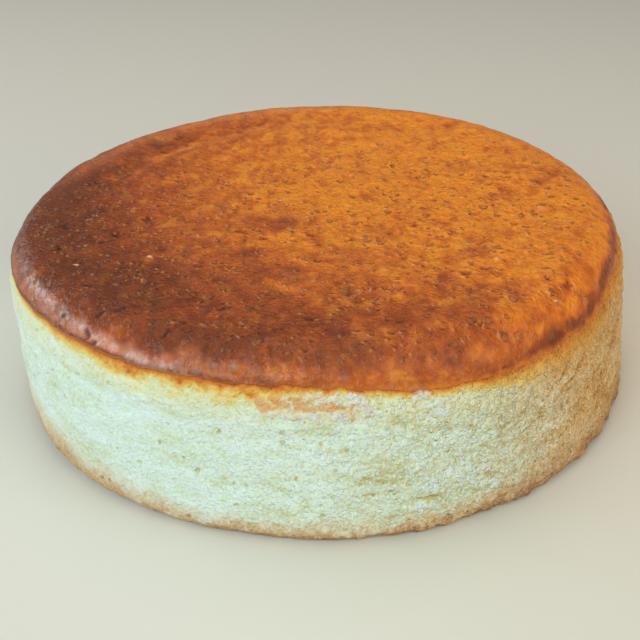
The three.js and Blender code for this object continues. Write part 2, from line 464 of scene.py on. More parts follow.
class Skin(Surface):
    """Relief and masks of every point of the skin's outer face."""

    def __init__(self, angle, gap):
        """gap is the distance from the skin's edge, along the meridian."""
        super().__init__(angle, skin_edge_way(angle) + gap)
        self.gap = gap
        self.x, self.y, _ = self.round.T
        self.radius = np.hypot(self.x, self.y)
        self.loose = warped(self.round, 1.9, 0.8, 91)
        self.broken = smoothstep(gradient_noise(self.round, 2.2, 93), -0.1, 0.4)
        self.left = self.at(FRONT_LEFT)
        self.right = self.at(FRONT_RIGHT)
        self.back = self.at(BACK)
        self.relief, self.pits, self.painted_highlight, self.chips, self.blisters = np.zeros((5, len(angle)))

    def add_pit(self, hole, rim, depth, strength):
        """A hollow, dark inside, with a raised rim that here and there has a painted caramel highlight."""
        self.relief += depth * (RIM_HEIGHT * rim - hole)
        self.pits = np.maximum(self.pits, strength * hole)
        self.painted_highlight = np.maximum(self.painted_highlight, RIM_HIGHLIGHT * strength * self.broken * rim)

    def add_single_marks(self):
        """The pits, chips and blisters that stand out one by one."""
        for x, y, radius, depth, length, turn in SINGLE_PITS:
            hole, rim = crater(self.distance_to(x, y, length, turn), radius)
            self.add_pit(hole, rim, depth, SINGLE_STRENGTH)
        for x, y, radius, tall, length, turn in SINGLE_CHIPS:
            chip = hump(self.distance_to(x, y, length, turn), radius)
            self.relief += tall * chip
            self.chips = np.maximum(self.chips, chip)
        for x, y, radius, tall in BLISTERS:
            dome, ring = crater(self.distance_to(x, y), radius)
            self.relief += tall * (dome - RIM_HEIGHT * ring)
            self.blisters = np.maximum(self.blisters, dome)
            # The sunken ring round a blister is painted dark, as painted shade
            self.pits = np.maximum(self.pits, 0.4 * ring)

    def distance_to(self, x, y, length=0.0, turn=0):
        """Distance to a short line whose middle, on the top or shoulder, lies over x, y."""
        offset = self.loose - (x, y, height_at_radius(math.hypot(x, y)))
        along = np.array((math.cos(math.radians(turn)), math.sin(math.radians(turn)), 0))
        reach = np.clip(offset @ along, -length / 2, length / 2)
        return np.linalg.norm(offset - reach[:, None] * along, axis=1)

    def add_scattered_marks(self):
        """Small pits and chips everywhere, crowded at the front left, few on the shoulder."""
        toward_front_left = -0.6 * self.x - 0.8 * self.y
        crowding = 0.6 + 0.4 * smoothstep(toward_front_left, -40, 50)
        crowding *= 0.3 + 0.7 * smoothstep(self.gap, 4, 14)
        for i, (apart, radius, depth, share, strength) in enumerate(PIT_SIZES):
            distance, _, number = cells(self.loose, apart, 5 + i)
            exists = chosen(number, share * crowding)
            marked = exists ** 0.5
            hole, rim = crater(distance, radius * (0.7 + 0.3 * exists))
            self.add_pit(hole * marked, rim * marked, depth, strength * marked)
        for i, (apart, radius, tall, share, strength) in enumerate(CHIP_SIZES):
            distance, _, number = cells(self.loose, apart, 25 + i)
            chip = chosen(number, share * crowding) ** 0.5 * hump(distance, radius)
            self.relief += tall * chip
            # Scattered chips get the same painted highlight
            self.painted_highlight = np.maximum(self.painted_highlight, strength * chip)

    def add_unevenness(self):
        """Swells, dimples, creases across the right half, and wrinkles down the left shoulder."""
        down = np.stack((self.x, self.y, self.way), axis=1)
        shoulder = smoothstep(self.radius, 70, 80)
        across = 0.16 * smoothstep(self.x, 10, 50) * (1 - shoulder)
        hollow_x, hollow_y, hollow_radius, hollow_depth = HOLLOW
        self.relief += (
            0.34 * self.noise(22, 21)
            + (0.26 - 0.12 * shoulder) * self.noise(8, 24)
            + (1.3 - 0.9 * shoulder) * self.dimples()
            + 0.2 * shoulder * self.left * fractal(down, (2.2, 2.2, 6), 31, octaves=2)
            + across * self.noise((8, 2.6, 2.6), 34)
            - hollow_depth * hump(np.hypot(self.x - hollow_x, self.y - hollow_y), hollow_radius)
        )

    def dimples(self):
        """Round hollows with little ridges between them, on slower bumps."""
        hollows = np.hypot(gradient_noise(self.loose, (2.7, 3.8, 2.7), 29), 0.12)
        return 0.26 * self.noise((4.4, 6.4, 4.4), 27) + 0.4 * (0.32 - hollows)

    def spottiness(self):
        """How strongly fine spots show: less at the back and low on the shoulder."""
        return (1 - 0.6 * smoothstep(self.y, 10, 60)) * (0.4 + 0.6 * smoothstep(self.gap, 3, 13))

    def glint_clusters(self):
        """Where tiny bright specks crowd together: in patches, mostly towards the front left."""
        patches = smoothstep(self.noise(11, 71), 0.0, 0.4)
        return patches * (0.3 + 0.7 * self.at(GLINTING)) * fading(self.radius, 66, 76)

    def browning_and_relief_shade(self):
        """0 for the palest orange, 1 for the darkest brown, with painted shade of the dimples in it."""
        toward_left = (1 + np.cos(np.radians(self.angle - DARKEST_ANGLE))) / 2
        amount = 0.9 * toward_left ** 1.25 * (np.minimum(self.radius, 76) / 72) ** 1.15
        blurred = warped(self.round, 9, 3.0, 51)
        for x, y, half_width, half_depth, size in BROWN_PATCHES:
            across = (blurred[:, 0] - x) / half_width
            along = (blurred[:, 1] - y) / half_depth
            amount += size * np.exp(-across ** 2 - along ** 2)
        behind = smoothstep(self.y, 10, 60)
        clouds = 0.07 + 0.07 * behind + 0.09 * (1 - toward_left)
        clouds *= 1 - 0.7 * self.right * hump(self.gap - 3, 4)
        amount += 0.08 * self.noise((15, 25, 15), 11, fade=0.6)
        amount += clouds * self.noise((5.5, 9, 6), 15, fade=0.6)
        amount += self.back * (0.12 * hump(self.radius - 68, 6) + 0.04 * hump(self.radius - 76, 4))
        amount += 0.1 * self.at(BACK_LEFT) * smoothstep(self.radius, 66, 72)
        amount += 0.13 * self.at(FRONT) * (hump(self.gap - 9, 4) - fading(self.gap, 2, 6))
        amount += 0.06 * self.left * smoothstep(self.radius, 35, 60) - 0.06 * behind
        # Hollows of the dimples painted browner and their ridges paler: painted shade of the relief
        return amount - (0.8 - 0.4 * toward_left) * self.dimples() - 0.3 * self.rosy_and_painted_sheen()

    def rosy_and_painted_sheen(self):
        """Where the skin is thin, pinkish and moist: low on the shoulder at the front left, painted
        lighter there as part of the sheen, and on either side of the darker band at the back left."""
        wander = 2.5 * self.noise(6, 65, octaves=3, fade=0.7)
        near = smoothstep(self.gap, 0.8, 2.0) * fading(self.gap + wander, 0, 7)
        behind = 0.8 * hump(self.radius - 77, 4) + 0.4 * hump(self.radius - 60.5 + 0.4 * wander, 1.3)
        return near * self.at(MOIST) + self.back * behind

    def gloss_and_painted_sheen(self):
        """The moist, wrinkled band that runs along the left shoulder, down to the edge in front: glossier,
        and with a painted sheen.
        """
        # Real gloss through a lower roughness, plus a painted pale lilac reflection of the window lamp
        middle = 5.9 - 0.11 * np.clip(self.angle - 206, 0, 40)
        wrinkled = 0.6 + 1.1 * self.noise(4.2, 68, octaves=4, fade=0.85)
        return self.at(SHINY) * hump(self.gap - middle, 1.3) * np.clip(wrinkled, 0.1, 1.2)

    def rim(self):
        """How much darker the skin is close to its edge: a thin line at the left, a band at
        the right."""
        line = 0.32 * self.left * hump(self.gap - 0.9, 0.5)
        return line + 0.68 * self.at(DARK_RIM) * hump(self.gap - 2.2, 2.4)

    def orange_and_painted_lit_edge(self):
        """Where the skin's last bit is orange instead of brown: widest at the right; at the left a
        narrow strip is painted light, against the shade under the rounded lip.
        """
        wander = 0.7 * self.noise(3, 61)
        wide = self.right * fading(self.gap + wander, 0.0, 1.5)
        # The strip at the left is painted light, against the shade under the rounded lip
        return 0.7 * np.maximum(wide, self.left * fading(self.gap, 0.2, 0.8))

    def lip(self):
        """How far the skin's edge stands out of the crumb, and rounds off; only at the left
        does it stand out much."""
        tall = 0.1 + 0.3 * self.left
        rounding = LIP_GAPS[0] * (0.3 + 0.5 * self.left)
        turned = np.clip(1 - self.gap / rounding, 0, 1)
        return tall * np.exp(-self.gap / 5) - rounding * (1 - np.sqrt(1 - turned ** 2))


# ---- the crumb's relief and masks
LEVEL_RISE = 12  # how much level lines drawn on the crumb rise from the front to the sides
# Pores: distance apart, radius, depth, share that exist
PORE_SIZES = ((5.5, 0.85, 0.50, 0.45), (3.3, 0.60, 0.34, 0.40), (2.1, 0.45, 0.24, 0.40))
# The patch where the skin tore off: angle, height, half angle, half height, and its white rows
TEAR = (270, 39.2, 10, 3.7)
UPPER_ROW = (274, 41.0, 5, 1.2)
LOWER_ROW_HEIGHT = 37.0
# White lumps: angle, height, half angle, half height, tall
WHITE_LUMPS = (
    (238.8, 34.6, 2.0, 1.3, 0.8),
    (241.5, 36.0, 1.0, 0.8, 0.4),
    (221.5, 40.2, 0.6, 0.9, 0.4),
    (285.6, 39.6, 1.4, 1.0, 0.6),
    (287.6, 37.2, 1.5, 1.2, 0.5),
    (289.0, 34.4, 1.2, 1.2, 0.4),
)


class Crumb(Surface):
    """Relief and masks of every point of the crumb's side."""

    def __init__(self, angle, way, below):
        """below is the distance under the skin's edge, along the meridian."""
        super().__init__(angle, way)
        self.below = below
        self.height = self.round[:, 2]
        self.right = self.at(CRUMB_RIGHT)
        self.sheared = self.round - around(angle, 0, LEVEL_RISE * np.sin(np.radians(angle)))

    def near(self, middle, level, half_angle, half_height):
        """A soft oval on the side, 1 in its middle."""
        across = hump(angle_between(middle, self.angle), half_angle)
        return across * hump(self.height - level, half_height)

    def rough(self):
        """How coarse the crumb is: least at the left, where it stayed moist."""
        return 0.92 - 0.18 * self.at(FINE_CRUMB) + 0.5 * self.at(COARSE_CRUMB)

    def creases(self):
        """Broken level creases, deepest at the right, which rise towards the sides."""
        line = hump(gradient_noise(self.sheared, (20, 20, 6.5), 71), 0.08)
        broken = smoothstep(gradient_noise(self.sheared, (11, 11, 7), 72), 0.05, 0.5)
        return (0.22 + 0.44 * self.at(CREASED)) * line * broken

    def grain(self):
        """Crumbs and the crevices between them, and pores; in mm, mostly below 0."""
        points = warped(self.round, 1.6, 0.7, 81)
        _, further, _ = cells(points, (1.9, 1.9, 1.4), 84)
        total = 0.14 * (smoothstep(further, 0.0, 0.75) - 0.7)
        for i, (apart, radius, deep, share) in enumerate(PORE_SIZES):
            distance, _, number = cells(points, (apart, apart, 0.8 * apart), 90 + i)
            total -= deep * chosen(number, share) ** 0.6 * hump(distance, radius)
        return total + 0.16 * self.noise(1.9, 96, fade=0.8)

    def swell(self):
        """Slow unevenness: bulges, faint layers that lie nearly level, and folds at the left."""
        foot = fading(self.height, 2.0, 6.5)
        return (
            0.26 * self.noise(26, 51)
            + 0.25 * self.noise((11, 11, 7), 54)
            + 0.12 * self.noise((14, 14, 2.8), 57)
            + 0.34 * self.at(FOLDED) * fractal(self.sheared, (17, 17, 5), 66, octaves=2)
            + 0.55 * self.right * self.noise((5, 5, 3.6), 60)
            + 0.18 * foot * self.noise(3.2, 63)
        )

    def toast(self):
        """1 at the skin's edge down to 0 where the crumb isn't coloured by it any more."""
        front = self.at(TOASTED_FRONT)
        bare = self.at(BARE_FRONT) + 1.2 * self.at(BARE_LEFT)
        reach = 4.7 + 1.8 * front - 1.8 * bare + 5.2 * self.at(TOASTED_RIGHT)
        blotch = (0.12 + 0.2 * front) * self.noise((5, 5, 3), 111, octaves=3, fade=0.8)
        band = 1 - self.below / reach + blotch * smoothstep(self.below, 0, 1.5)
        halo = (0.25 + 0.05 * front) * fading(self.below, 3, 15)
        return np.clip(np.maximum(band, halo), 0, 1)

    def foot(self):
        """1 at the base down to 0 where the crumb isn't coloured by the tin any more."""
        tall = 9.0 + 6.0 * self.at(TALL_FOOT_LEFT) + 2.5 * self.at(TALL_FOOT_RIGHT)
        uneven = 1.3 * self.noise((2.2, 2.2, 3), 121, fade=0.8)
        clouds = 1.8 * self.noise(9, 125)
        fainter = 1 - 0.12 * self.at(FAINT_FOOT)
        return fainter * np.clip(1 - (self.height + uneven + clouds) / tall, 0, 1)

    def tan(self):
        """How much darker and yellower the crumb is baked, most at the right."""
        amount = np.maximum(1.15 * self.at(TAN_RIGHT), 0.62 * self.at(TAN_BACK))
        return amount + 0.14 * self.noise((14, 14, 8), 131, octaves=3, fade=0.7)

    def yellow_and_painted_light(self):
        """Clouds of yellower crumb; below 0 it is whiter than elsewhere, and at the front left that
        whiteness is painted light where the key lamp falls.
        """
        return self.noise((16, 16, 6), 135, octaves=3, fade=0.75) - 0.5 * self.at(PAINTED_LIT_FRONT)

    def tear(self):
        """Where the skin tore off at the front: mask, and tone and relief of the flakes there,
        which are whitest along two level rows."""
        middle = self.near(*TEAR)
        ragged = 0.4 * smoothstep(middle, 0.05, 0.3) * self.noise(3.5, 141, octaves=3, fade=0.8)
        mask = smoothstep(middle + ragged, 0.4, 0.65) * smoothstep(self.below, 0.2, 1.2)
        points = warped(self.round, 2.0, 1.2, 144)
        _, further, number = cells(points, (2.6, 2.6, 1.3), 147)
        rows = np.maximum(self.near(*UPPER_ROW), hump(self.height - LOWER_ROW_HEIGHT, 1.1))
        tone = np.clip(0.6 * number + 0.5 * rows, 0, 1)
        relief = (0.1 + 0.5 * tone) * smoothstep(further, 0.0, 0.4)
        return mask, tone, relief

    def white_lumps(self):
        """Where white lumps stand out, and by how much."""
        mask, height = 0, 0
        ragged = 1.2 + 0.9 * self.noise(2, 151)
        for *oval, tall in WHITE_LUMPS:
            lump = np.clip(self.near(*oval) * ragged, 0, 1)
            mask = np.maximum(mask, lump)
            height = height + tall * lump
        return mask, height


# ---- mesh helpers
def ring_angles(count):
    return np.arange(count) * 360 / count


def disc_faces(rings):
    """Triangles of a disc whose ring i has 6 i points, with point 0 in the middle."""
    faces = [(0, 1 + j, 1 + (j + 1) % 6) for j in range(6)]
    for ring in range(1, rings):
        inner, inner_count = 1 + 3 * ring * (ring - 1), 6 * ring
        outer, outer_count = inner + inner_count, 6 * (ring + 1)
        for sector, j in product(range(6), range(ring + 1)):
            a = inner + (sector * ring + j) % inner_count
            b = outer + (sector * (ring + 1) + j) % outer_count
            c = outer + (sector * (ring + 1) + j + 1) % outer_count
            faces.append((a, b, c))
            if j < ring:
                faces.append((a, c, inner + (sector * ring + j + 1) % inner_count))
    return faces


def band_faces(lower, upper, count):
    """Quads between two rings of `count` points whose first points are lower and upper."""
    return [(lower + i, lower + (i + 1) % count, upper + (i + 1) % count, upper + i) for i in range(count)]


def cap(outer, first, count, way_start, way_end):
    """Closes a ring of `count` points, whose first is `outer`, with coarser and coarser rings.

    The new points are numbered from `first`. Returns their angles, their ways and the triangles.
    """
    halvings = 0
    while count % 2 ** (halvings + 1) == 0 and count // 2 ** halvings > SMALLEST_RING:
        halvings += 1
    angles, ways, faces = [], [], []
    for step in range(1, halvings + 1):
        for i in range(0, count, 2):
            a, b, c = outer + i, outer + i + 1, outer + (i + 2) % count
            d, e = first + i // 2, first + (i // 2 + 1) % (count // 2)
            faces += [(a, b, d), (b, e, d), (b, c, e)]
        outer, count = first, count // 2
        first += count
        angles.append(ring_angles(count))
        ways.append(np.full(count, way_start + (way_end - way_start) * step / (halvings + 1)))
    faces += [(outer + i, outer + (i + 1) % count, first) for i in range(count)]
    return np.concatenate((*angles, [0.0])), np.concatenate((*ways, [way_end])), faces


def disc_uv(angle, radius, middle):
    return around(angle, radius, 0)[:, :2] + middle


def add_object(name, data):
    piece = bpy.data.objects.new(name, data)
    bpy.context.scene.collection.objects.link(piece)
    return piece


def make_mesh(name, points, faces, attributes, corner_uvs):
    """A mesh object from points in mm, float attributes that cover the first points, and a UV
    map given corner by corner."""
    mesh = bpy.data.meshes.new(name)
    mesh.from_pydata(((points - MIDDLE) * MM).tolist(), [], faces)
    for key, values in attributes.items():
        padded = np.zeros(len(points), np.float32)
        padded[: len(values)] = values
        mesh.attributes.new(key, "FLOAT", "POINT").data.foreach_set("value", padded)
    layer = mesh.uv_layers.new(name="OFBake")
    layer.data.foreach_set("uv", np.asarray(corner_uvs, np.float32).ravel())
    mesh.polygons.foreach_set("use_smooth", [True] * len(mesh.polygons))
    mesh.update()
    return add_object(name, mesh)


# ---- the skin's mesh
RELIEF_FADE = (0.1, 2.0)  # the skin's relief sets in at this distance from its edge
SKIN_UV_RADIUS = 0.492
SKIN_UV_MIDDLE = (0.5, 0.5)
HIDDEN_UV_RADIUS = 0.06
HIDDEN_UV_MIDDLE = (0.07, 0.07)


def skin_piece():
    """The browned cap: outer disc, rounded lip, and a plain inner face hidden by the crumb."""
    ring_count = 6 * SKIN_RINGS
    rings = range(1, SKIN_RINGS + 1)
    angle = np.concatenate([np.zeros(1)] + [ring_angles(6 * ring) for ring in rings])
    share = np.concatenate([np.zeros(1)] + [np.full(6 * ring, ring / SKIN_RINGS) for ring in rings])
    reach = WHOLE_WAY - skin_edge_way(angle)
    gap = LIP_GAPS[0] + (reach - LIP_GAPS[0]) * (1 - share)
    faces = disc_faces(SKIN_RINGS)
    for near in LIP_GAPS[1:]:
        faces += band_faces(len(angle), len(angle) - ring_count, ring_count)
        angle = np.concatenate((angle, ring_angles(ring_count)))
        gap = np.concatenate((gap, np.full(ring_count, near)))

    skin = Skin(angle, gap)
    skin.add_single_marks()
    skin.add_scattered_marks()
    skin.add_unevenness()
    outside = settled(angle, skin.way, skin.lip() + smoothstep(gap, *RELIEF_FADE) * skin.relief)
    attributes = {
        "browning_and_relief_shade": skin.browning_and_relief_shade(),
        "pit": skin.pits,
        "painted_highlight": skin.painted_highlight,
        "chip": skin.chips,
        "blister": skin.blisters,
        "rim": skin.rim(),
        "rosy_and_painted_sheen": skin.rosy_and_painted_sheen(),
        "gloss_and_painted_sheen": skin.gloss_and_painted_sheen(),
        "orange_and_painted_lit_edge": skin.orange_and_painted_lit_edge(),
        "glints": skin.glint_clusters(),
        "spotty": skin.spottiness(),
    }

    # The inner face starts just above the edge and is covered by the crumb
    first_inner = len(angle)
    inner_angle = ring_angles(ring_count)
    inner_way = skin_edge_way(inner_angle) + SKIN_INNER_START
    cap_angle, cap_way, cap_faces = cap(
        first_inner, first_inner + ring_count, ring_count, way_at_height(HIDDEN_HEIGHT), WHOLE_WAY
    )
    hidden_faces = band_faces(first_inner, first_inner - ring_count, ring_count)
    hidden_faces += [face[::-1] for face in cap_faces]
    hidden_angle = np.concatenate((inner_angle, cap_angle))
    hidden_way = np.concatenate((inner_way, cap_way))
    inside = settled(hidden_angle, hidden_way, -SKIN_THICKNESS)

    seen_share = 1 - gap / (WHOLE_WAY - skin_edge_way(angle))
    seen_uv = disc_uv(angle, SKIN_UV_RADIUS * seen_share, SKIN_UV_MIDDLE)
    hidden_share = (WHOLE_WAY - hidden_way) / (WHOLE_WAY - inner_way.min())
    hidden_uv = disc_uv(hidden_angle, HIDDEN_UV_RADIUS * hidden_share, HIDDEN_UV_MIDDLE)
    uv = np.concatenate((seen_uv, hidden_uv))
    corner_uvs = [uv[i] for face in faces for i in face]
    # In the hidden disc, the lip's last ring shares its place with the inner face's first ring
    corner_uvs += [uv[i if i >= first_inner else i + ring_count] for face in hidden_faces for i in face]
    points = np.concatenate((outside, inside))
    return make_mesh("browned_skin", points, faces + hidden_faces, attributes, corner_uvs)


# ---- the crumb's mesh
STRIPS = 3  # the side is laid out as strips, one above another
STRIP_TALL = 0.26
STRIP_PITCH = 0.266
STRIP_MARGIN = 0.003
TOP_UV_MIDDLE = (0.11, 0.9)
BASE_UV_MIDDLE = (0.35, 0.9)
CAP_UV_RADIUS = 0.1


def side_uvs(way, start_way):
    """A UV for each corner of the side's faces, in the order that band_faces gives them."""
    per_strip = CRUMB_SEGMENTS // STRIPS
    row, column = np.divmod(np.arange(CRUMB_ROWS * CRUMB_SEGMENTS), CRUMB_SEGMENTS)
    strip = column // per_strip
    grid = way.reshape(CRUMB_ROWS + 1, CRUMB_SEGMENTS)
    tallest = grid[-1].max() - start_way
    corners = []
    for right, above in ((0, 0), (1, 0), (1, 1), (0, 1)):
        across = (column + right - strip * per_strip) / per_strip
        up = (grid[row + above, (column + right) % CRUMB_SEGMENTS] - start_way) / tallest
        u = STRIP_MARGIN + (1 - 2 * STRIP_MARGIN) * across
        v = STRIP_MARGIN + strip * STRIP_PITCH + STRIP_TALL * up
        corners.append(np.stack((u, v), axis=1))
    return np.stack(corners, axis=1).reshape(-1, 2)


def crumb_piece():
    """The pale cake: a fine side from the base's edge to under the skin, plain where hidden."""
    count = CRUMB_SEGMENTS
    ring = ring_angles(count)
    edge = skin_edge_way(ring)
    start_way = FOOT_WAY - SIDE_BEFORE_FOOT
    share = np.repeat(np.arange(CRUMB_ROWS + 1) / CRUMB_ROWS, count)
    angle = np.tile(ring, CRUMB_ROWS + 1)
    way = start_way + (np.tile(edge + CRUMB_PAST_EDGE, CRUMB_ROWS + 1) - start_way) * share
    crumb = Crumb(angle, way, np.tile(edge, CRUMB_ROWS + 1) - way)

    grain = crumb.grain() * crumb.rough()
    creases = crumb.creases()
    tear, flake_tone, flake_relief = crumb.tear()
    white, lumps = crumb.white_lumps()
    below_skin = 0.15 * crumb.right * hump(crumb.below, 2.5)
    proud = crumb.swell() + grain * (1 - 0.7 * tear) - creases + tear * flake_relief + lumps + below_skin
    tuck = fading(crumb.below - 0.3 * crumb.at(FRONT_LEFT), -0.9, 0.0)
    proud = proud * (1 - tuck) * smoothstep(way, start_way, start_way + 2.0) - TUCK_DEPTH * tuck
    side = settled(angle, way, proud)
    attributes = {
        # Creases and crevices painted yellower and darker, grain tops whiter: the foam's own tint and
        # painted shade
        "crevice_tint_and_shade": 0.9 * creases - grain,
        "toast": crumb.toast(),
        "foot": crumb.foot(),
        "tan": crumb.tan(),
        "yellow_and_painted_light": crumb.yellow_and_painted_light(),
        "rough": crumb.rough(),
        "tear": tear,
        "flake": flake_tone,
        "white": white,
    }

    faces = []
    for row in range(CRUMB_ROWS):
        faces += band_faces(row * count, (row + 1) * count, count)
    top_start = len(angle)
    top_angle, top_cap_way, top_faces = cap(
        top_start - count, top_start, count, way_at_height(HIDDEN_HEIGHT), WHOLE_WAY
    )
    base_start = top_start + len(top_angle)
    base_angle, base_way, base_faces = cap(0, base_start, count, start_way, 0.0)
    base_faces = [face[::-1] for face in base_faces]

    all_angle = np.concatenate((angle, top_angle, base_angle))
    all_way = np.concatenate((way, top_cap_way, base_way))
    top_uv = disc_uv(all_angle, CAP_UV_RADIUS * (1 - all_way / WHOLE_WAY) * 2, TOP_UV_MIDDLE)
    base_uv = disc_uv(all_angle, CAP_UV_RADIUS * all_way / FOOT_WAY, BASE_UV_MIDDLE)
    corner_uvs = np.concatenate((
        side_uvs(way, start_way),
        top_uv[np.ravel(top_faces)],
        base_uv[np.ravel(base_faces)],
    ))
    points = np.concatenate((
        side,
        settled(top_angle, top_cap_way, -CRUMB_UNDER_SKIN),
        settled(base_angle, base_way, 0),
    ))
    points[:, 2] = np.maximum(points[:, 2], 0)
    return make_mesh("crumb", points, faces + top_faces + base_faces, attributes, corner_uvs)


# ---- materials: colours are display values, 0 to 255; on a ramp each follows its position
BROWNING = (
    (0.0, 248, 142, 32),
    (0.2, 226, 118, 30),
    (0.5, 185, 86, 26),
    (0.78, 147, 65, 20),
    (1.0, 115, 51, 17),
)
PLUM = ((204, 112, 62), (128, 68, 35))  # where the skin is light, and where it is dark
HOLLOWS = ((178, 78, 26), (104, 38, 16))
PITS = ((158, 62, 22), (78, 36, 20))
GOLDEN = (246, 152, 42)
# Painted highlight on the lit side of each dark spot
PAINTED_HIGHLIGHT_SPOT = (248, 176, 112)
GLINT = (244, 168, 104)
# Pinkish skin, painted lighter at the front left as the low end of the sheen
ROSY_AND_PAINTED_SHEEN = (208, 126, 88)
# Painted reflection of the window lamp on the moist band of the left shoulder
PAINTED_SHEEN = (226, 190, 184)
# Painted highlight on the raised rims of pits
PAINTED_RIM_HIGHLIGHT = (244, 170, 108)
# Painted lilac-grey highlight on the blisters' domes
BLISTER_HIGHLIGHT = (164, 112, 98)
# Pale chips, their colour also a painted sparkle of light
PALE_CHIP_AND_SPARKLE = (248, 200, 168)
# Orange edge of the skin; at the left it is painted light against the lip's shade
ORANGE_AND_PAINTED_LIT_EDGE = (214, 126, 44)
# By depth: grain tops near white, crevices tan, partly painted shade
PALE_CRUMB = ((0.0, 242, 253, 250), (0.35, 235, 249, 237), (0.65, 224, 231, 198), (1.0, 204, 182, 120))
BAKED_CRUMB = ((0.0, 248, 224, 182), (0.35, 240, 201, 144), (0.65, 226, 175, 110), (1.0, 190, 134, 70))
TOAST = (
    (0.0, 242, 234, 188),
    (0.35, 244, 226, 154),
    (0.62, 245, 202, 112),
    (0.84, 234, 154, 58),
    (1.0, 208, 106, 34),
)
TAN_TOAST = (230, 144, 58)
FOOT = ((0.0, 240, 224, 190), (0.4, 232, 202, 156), (0.72, 216, 172, 126), (1.0, 174, 120, 80))
TAN_FOOT = (184, 130, 82)
CRUST_SPOT = (134, 84, 48)
FLAKES = (
    (0.0, 230, 146, 80),
    (0.35, 238, 184, 126),
    (0.5, 240, 224, 184),
    (0.65, 240, 230, 222),
    (1.0, 244, 238, 242),
)
WHITE_LUMP = (238, 250, 254)
FLOOR = (226, 222, 214)
DISPLAY_GAMMA = 2.2


def linear(red, green, blue):
    """A colour given as display values, in linear light."""
    channels = (np.array((red, green, blue)) / 255) ** DISPLAY_GAMMA
    return (*(float(c) for c in channels), 1.0)


class Tree:
    """Adds nodes to one material and links them."""

    def __init__(self, name):
        self.material = bpy.data.materials.new(name)
        self.material.use_nodes = True
        self.nodes = self.material.node_tree.nodes
        self.links = self.material.node_tree.links
        self.shader = self.nodes["Principled BSDF"]
        metres = self.node("TexCoord").outputs["Object"]
        self.place = self.node("VectorMath", {0: metres, "Scale": 1 / MM}, operation="SCALE").outputs[0]

    def fill(self, node, values):
        """Links each of a node's sockets to an output, or sets it to a constant."""
        for key, value in values.items():
            socket = node.inputs[key]
            if isinstance(value, bpy.types.NodeSocket):
                self.links.new(value, socket)
            else:
                socket.default_value = linear(*value) if socket.type == "RGBA" else value

    def node(self, kind, values=(), **settings):
        node = self.nodes.new("ShaderNode" + kind)
        for name, value in settings.items():
            setattr(node, name, value)
        self.fill(node, dict(values))
        return node

    def attribute(self, name):
        return self.node("Attribute", attribute_name=name).outputs["Fac"]

    def texture(self, kind, size, place=None, **values):
        """A texture node whose features are about `size` mm apart."""
        return self.node("Tex" + kind, {"Scale": 1 / size, "Vector": place or self.place, **values})

    def noise(self, size, detail=2.0, place=None):
        """Noise about 0, mostly -0.3 to 0.3."""
        node = self.texture("Noise", size, place, Detail=detail)
        return self.math("SUBTRACT", node.outputs["Fac"], 0.5)

    def warp(self, size, amount):
        """The place pushed about by noise, so that what is drawn there is less regular."""
        push = self.texture("Noise", size).outputs["Color"]
        values = {0: push, 1: (amount, amount, amount), 2: self.place}
        return self.node("VectorMath", values, operation="MULTIPLY_ADD").outputs[0]

    def moved(self, operation, place, numbers):
        """A place with three numbers added to it, or each of its three multiplied."""
        return self.node("VectorMath", {0: place, 1: numbers}, operation=operation).outputs[0]

    def grains(self, size, place):
        """Grains: about 0 in the middle of each, 1 between them."""
        return self.between(self.texture("Voronoi", size, place).outputs["Distance"], 0.05, 0.75)

    def spots(self, size, radius, share, place):
        """Spots up to `radius` mm, 1 in the middle and 0 outside; a share of the cells has one."""
        cell = self.texture("Voronoi", size, place)
        own = self.node("SeparateColor", {"Color": cell.outputs["Color"]}).outputs["Red"]
        exists = self.between(own, 1 - share, 1.0)
        return self.between(self.total(exists, (cell.outputs["Distance"], -size / radius)), 0.0, 0.5)

    def math(self, operation, *values):
        return self.node("Math", dict(enumerate(values)), operation=operation).outputs[0]

    def times(self, product_so_far, *values):
        """The product of values."""
        for value in values:
            product_so_far = self.math("MULTIPLY", product_so_far, value)
        return product_so_far

    def total(self, *parts):
        """The sum of values, each given alone or with a factor."""
        result = 0.0
        for part in parts:
            value, factor = part if isinstance(part, tuple) else (part, 1.0)
            result = self.math("MULTIPLY_ADD", value, factor, result)
        return result

    def between(self, value, low, high, to_low=0.0, to_high=1.0):
        """Maps low..high to to_low..to_high, smoothly and clamped."""
        values = {"Value": value, "From Min": low, "From Max": high, "To Min": to_low, "To Max": to_high}
        return self.node("MapRange", values, interpolation_type="SMOOTHSTEP").outputs["Result"]

    def mix(self, share, a, b):
        return self.node("Mix", {"Factor": share, "A": a, "B": b}, data_type="RGBA").outputs["Result"]

    def painted(self, colour, *layers):
        """A colour with others laid over it in turn; each comes with how much of it shows."""
        for share, paint in layers:
            colour = self.mix(share, colour, paint)
        return colour

    def ramp(self, value, stops):
        """Colours along a value."""
        node = self.node("ValToRGB", {"Fac": value})
        elements = node.color_ramp.elements
        while len(elements) < len(stops):
            elements.new(0.5)
        for element, (position, *colour) in zip(elements, stops):
            element.position = position
            element.color = linear(*colour)
        return node.outputs["Color"]

    def bump(self, height, distance, normal=None):
        """A normal tilted by a height, in units of `distance` mm, on top of another normal."""
        values = {"Height": height, "Distance": distance * MM, "Strength": 1.0}
        if normal:
            values["Normal"] = normal
        return self.node("Bump", values).outputs["Normal"]


